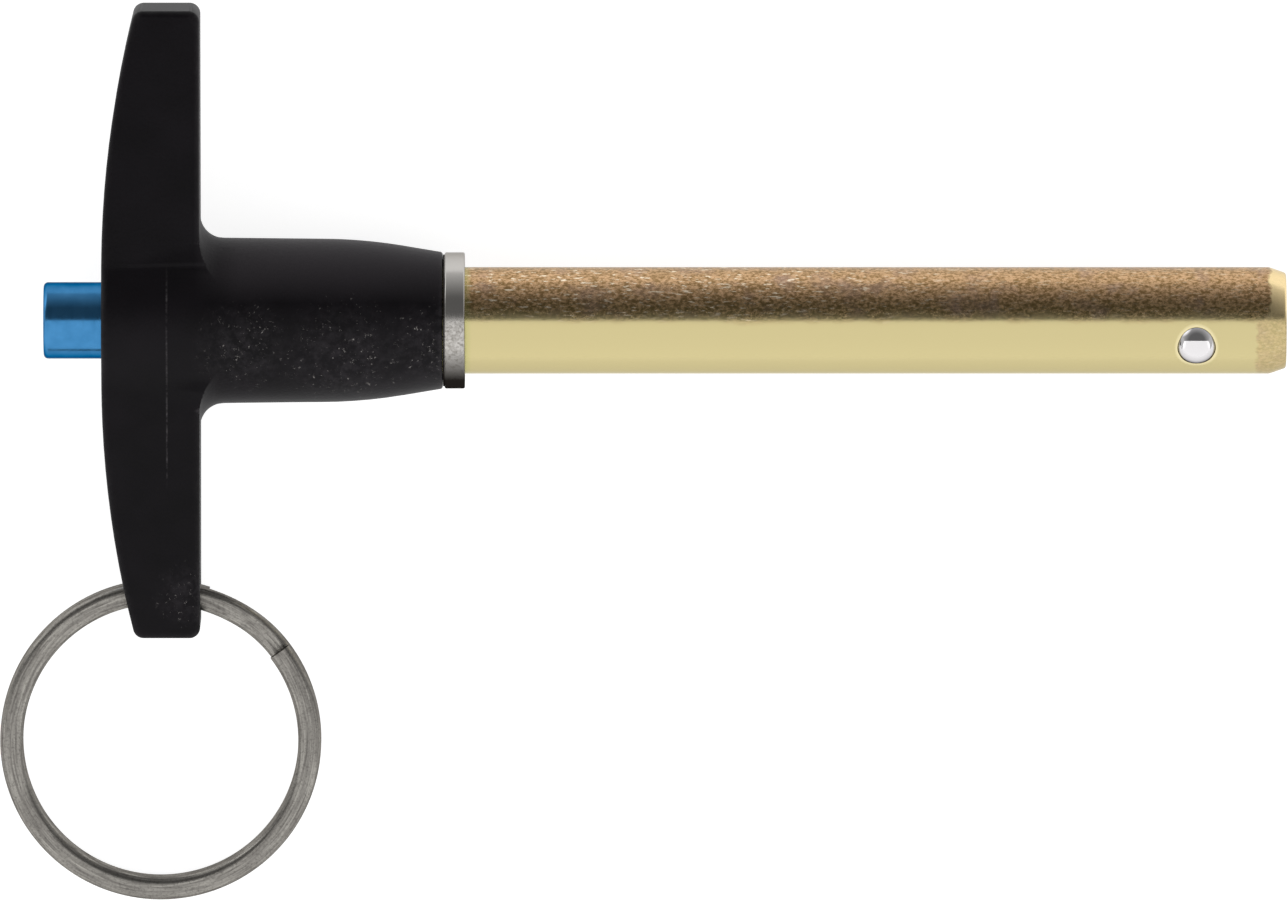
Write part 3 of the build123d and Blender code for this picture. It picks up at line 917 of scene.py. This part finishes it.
def makeRing():
    # upper turn, slope and lower turn of one wire, clockwise from its upper end, then tipped into its hole
    s = ringSettings
    wound = 720 - s["slope"]  # the degrees that the wire goes round
    path = []
    for count in range(round(wound / s["step"]) + 1):
        travelled = count * s["step"]
        share = min(max((travelled - (360 - s["slope"])) / s["slope"], 0), 1)
        turn = radians(s["end"] - travelled)
        path.append((s["radius"] * cos(turn), s["radius"] * sin(turn), s["level"] * cos(pi * share)))
    section = []
    for across, up, start in ((1, 1, 0), (-1, 1, 90), (-1, -1, 180), (1, -1, 270)):
        middle = (across * (s["width"] / 2 - s["round"]), up * (s["height"] / 2 - s["round"]))
        section += [(x, y, 0) for x, y in arc(middle, s["round"], start, start + 90, s["roundSteps"])]
    ring = sweepWire("splitRing", path, section, "Z_UP", s["smoothAngle"])
    eased = ring.modifiers.new("easedEnds", "BEVEL")
    eased.width = s["endBevel"] * mm
    eased.segments = s["bevelSteps"]
    eased.angle_limit = radians(s["bevelAngle"])
    bpy.ops.object.modifier_apply(modifier=eased.name)
    tipped = Matrix.Rotation(radians(s["tilt"]), 4, "X")
    ring.data.transform(Matrix.Translation(Vector(s["middle"]) * mm) @ tipped)
    return settle(ring, s["smoothAngle"])


finishPiece(makeRing(), makeDrawnSteel(), "ring", "key_ring")
print("ring made")


springSettings = {
    "start": boxOf("return_spring")[0][0], "end": boxOf("return_spring")[1][0], "radius": 2.75, "wire": 0.3,
    "wireSides": 12, "openTurns": 7, "shutTurns": 1, "perTurn": 40, "stroke": 4.2, "smoothAngle": 35,
    "shader": {"Metallic": 1.0, "Roughness": 0.28},
    "bright": "#94918c", "dull": "#7b7873",
    "ring": 0.08, "ringStretch": 150, "ringDepth": 0.001,  # really finer, and drawn so coarse to show
}


# Steel rod, centreless ground: plain satin grey with fine rings across it.
def makeGroundSteel():
    s = springSettings
    material, tree, shader, place = startMaterial("groundSteel", s["shader"])
    along = addNode(
        tree, "ShaderNodeMapping",
        {"Scale": (1 / (s["ring"] * mm), s["ringStretch"], s["ringStretch"])}, {"Vector": place},
    )
    rings = addNode(
        tree, "ShaderNodeTexNoise", {"Scale": 1.0, "Detail": 3.0}, {"Vector": along.outputs["Vector"]},
    )
    shade = addNode(
        tree, "ShaderNodeMix", {"data_type": "RGBA", 6: colour(s["dull"]), 7: colour(s["bright"])},
        {0: rings.outputs["Fac"]},
    )
    tree.links.new(shade.outputs[2], shader.inputs["Base Color"])
    ground = addNode(
        tree, "ShaderNodeBump", {"Distance": s["ringDepth"] * mm}, {"Height": rings.outputs["Fac"]},
    )
    tree.links.new(ground.outputs["Normal"], shader.inputs["Normal"])
    return material


def makeSpring():
    # a helix whose first and last turns close up against their neighbours
    s = springSettings
    shutPitch = 2 * s["wire"]
    openPitch = (s["end"] - s["start"] - shutPitch * (1 + 2 * s["shutTurns"])) / s["openTurns"]
    path = []
    for step in range((s["openTurns"] + 2 * s["shutTurns"]) * s["perTurn"] + 1):
        turns = step / s["perTurn"]
        openTurns = min(max(turns - s["shutTurns"], 0), s["openTurns"])
        along = s["start"] + s["wire"] + (turns - openTurns) * shutPitch + openTurns * openPitch
        path.append((along, s["radius"] * cos(2 * pi * turns), s["radius"] * sin(2 * pi * turns)))
    lastSide = 360 - 360 / s["wireSides"]
    section = [(x, y, 0) for x, y in arc((0, 0), s["wire"], 0, lastSide, s["wireSides"] - 1)]
    return sweepWire("coilSpring", path, section, "MINIMUM", s["smoothAngle"])


groundSteel = makeGroundSteel()
spring = makeSpring()
finishPiece(spring, groundSteel, "pin", "return_spring")
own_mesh(spring)
print("spring made")


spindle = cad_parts["spindle"]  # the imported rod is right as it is, and gets the same ground finish
spindle.data.materials.clear()
spindle.data.materials.append(groundSteel)
print("spindle finished")


studioSettings = {
    "floorSize": 8.0, "floorShade": "#acacac", "floorRoughness": 0.9, "floorGlow": 0.86,
    "keyRadiance": 1.3, "keyWidth": 3000, "edgeHeight": 700, "edgeReach": 900,
    "horizon": 0.8, "zenith": 0.16, "zenithFrom": 0.77, "behindKey": 0.1, "behindFrom": -0.1,
    "sideGlows": (((-1, 0, 0), 0.7), ((1, 0, 0), 0.7), ((-0.7, 0.7, 0), 1.7)),  # direction and strength
    "sideFrom": 0.8, "sideTo": 0.95,
    "cameraPlace": (15.9, -11.51, 3000), "frameWidth": 114.36, "sensorWidth": 36, "clipEnd": 20,
}


def makeFloor():
    # pale paper that also glows, up to white, to the eye and in reflections only, so the shadow stays
    s = studioSettings
    deselectAll()
    bpy.ops.mesh.primitive_plane_add(size=s["floorSize"], location=(0, 0, cadBox[0][2]))
    floor = newPiece("floor")
    paper = {"Base Color": colour(s["floorShade"]), "Roughness": s["floorRoughness"]}
    material, tree, shader, _ = startMaterial("paleStudioPaper", paper)
    path = addNode(tree, "ShaderNodeLightPath")
    seen = addNode(
        tree, "ShaderNodeMath", {"operation": "MAXIMUM"},
        {0: path.outputs["Is Camera Ray"], 1: path.outputs["Is Glossy Ray"]},
    )
    seen = addNode(
        tree, "ShaderNodeMath", {"operation": "MAXIMUM"},
        {0: seen.outputs["Value"], 1: path.outputs["Is Transmission Ray"]},
    )
    strength = addNode(
        tree, "ShaderNodeMath", {"operation": "MULTIPLY", 1: s["floorGlow"]}, {0: seen.outputs["Value"]},
    )
    glow = addNode(tree, "ShaderNodeEmission", links={"Strength": strength.outputs["Value"]})
    both = addNode(tree, "ShaderNodeAddShader", links={0: shader.outputs[0], 1: glow.outputs[0]})
    tree.links.new(both.outputs[0], tree.nodes["Material Output"].inputs["Surface"])
    floor.data.materials.append(material)


def makeSky():
    # a soft glow that fades from the horizon up, is faint behind the softbox, and has a few brighter panels
    s = studioSettings
    world = bpy.data.worlds.new("studio")
    bpy.context.scene.world = world
    world.use_nodes = True
    tree = world.node_tree
    toward = addNode(tree, "ShaderNodeTexCoord").outputs["Generated"]
    parts = addNode(tree, "ShaderNodeSeparateXYZ", links={0: toward})
    fade = addNode(
        tree, "ShaderNodeMapRange",
        {"From Max": s["zenithFrom"], "To Min": s["horizon"], "To Max": s["zenith"]},
        {"Value": parts.outputs["Z"]},
    )
    front = addNode(
        tree, "ShaderNodeMapRange",
        {"From Min": s["behindFrom"], "From Max": 0.0, "To Min": s["behindKey"]},
        {"Value": parts.outputs["Y"]},
    )
    strength = addNode(
        tree, "ShaderNodeMath", {"operation": "MULTIPLY"},
        {0: fade.outputs["Result"], 1: front.outputs["Result"]},
    )
    for direction, level in s["sideGlows"]:
        facing = addNode(
            tree, "ShaderNodeVectorMath", {"operation": "DOT_PRODUCT", 1: direction}, {0: toward},
        )
        panel = addNode(
            tree, "ShaderNodeMapRange",
            {"From Min": s["sideFrom"], "From Max": s["sideTo"], "To Max": level},
            {"Value": facing.outputs["Value"]},
        )
        strength = addNode(
            tree, "ShaderNodeMath", {"operation": "MAXIMUM"},
            {0: strength.outputs["Value"], 1: panel.outputs["Result"]},
        )
    background = tree.nodes["Background"]
    background.inputs["Color"].default_value = (1, 1, 1, 1)
    tree.links.new(strength.outputs["Value"], background.inputs["Strength"])


def makeSoftbox():
    # one wide softbox, leaning from straight overhead down to the floor in front
    s = studioSettings
    height, reach = s["edgeHeight"], s["edgeReach"]
    middle = Vector((s["cameraPlace"][0], -reach / 2, height / 2)) * mm
    bpy.ops.object.light_add(type="AREA", location=middle, rotation=(pi / 2 - atan2(reach, height), 0, 0))
    key = bpy.context.active_object
    key.name = "softbox"
    key.data.shape = "RECTANGLE"
    key.data.size = s["keyWidth"] * mm
    key.data.size_y = hypot(height, reach) * mm
    key.data.energy = s["keyRadiance"] * pi * key.data.size * key.data.size_y
    key.visible_camera = False


def makeCamera():
    s = studioSettings
    bpy.ops.object.camera_add(location=Vector(s["cameraPlace"]) * mm, rotation=(0, 0, 0))
    camera = bpy.context.active_object
    camera.name = "overheadCamera"
    camera.data.sensor_width = s["sensorWidth"]
    camera.data.lens = s["sensorWidth"] * s["cameraPlace"][2] / s["frameWidth"]
    camera.data.clip_end = s["clipEnd"]
    bpy.context.scene.camera = camera


makeFloor()
makeSky()
makeSoftbox()
makeCamera()
bpy.context.scene.view_settings.view_transform = "Standard"
print("studio set")
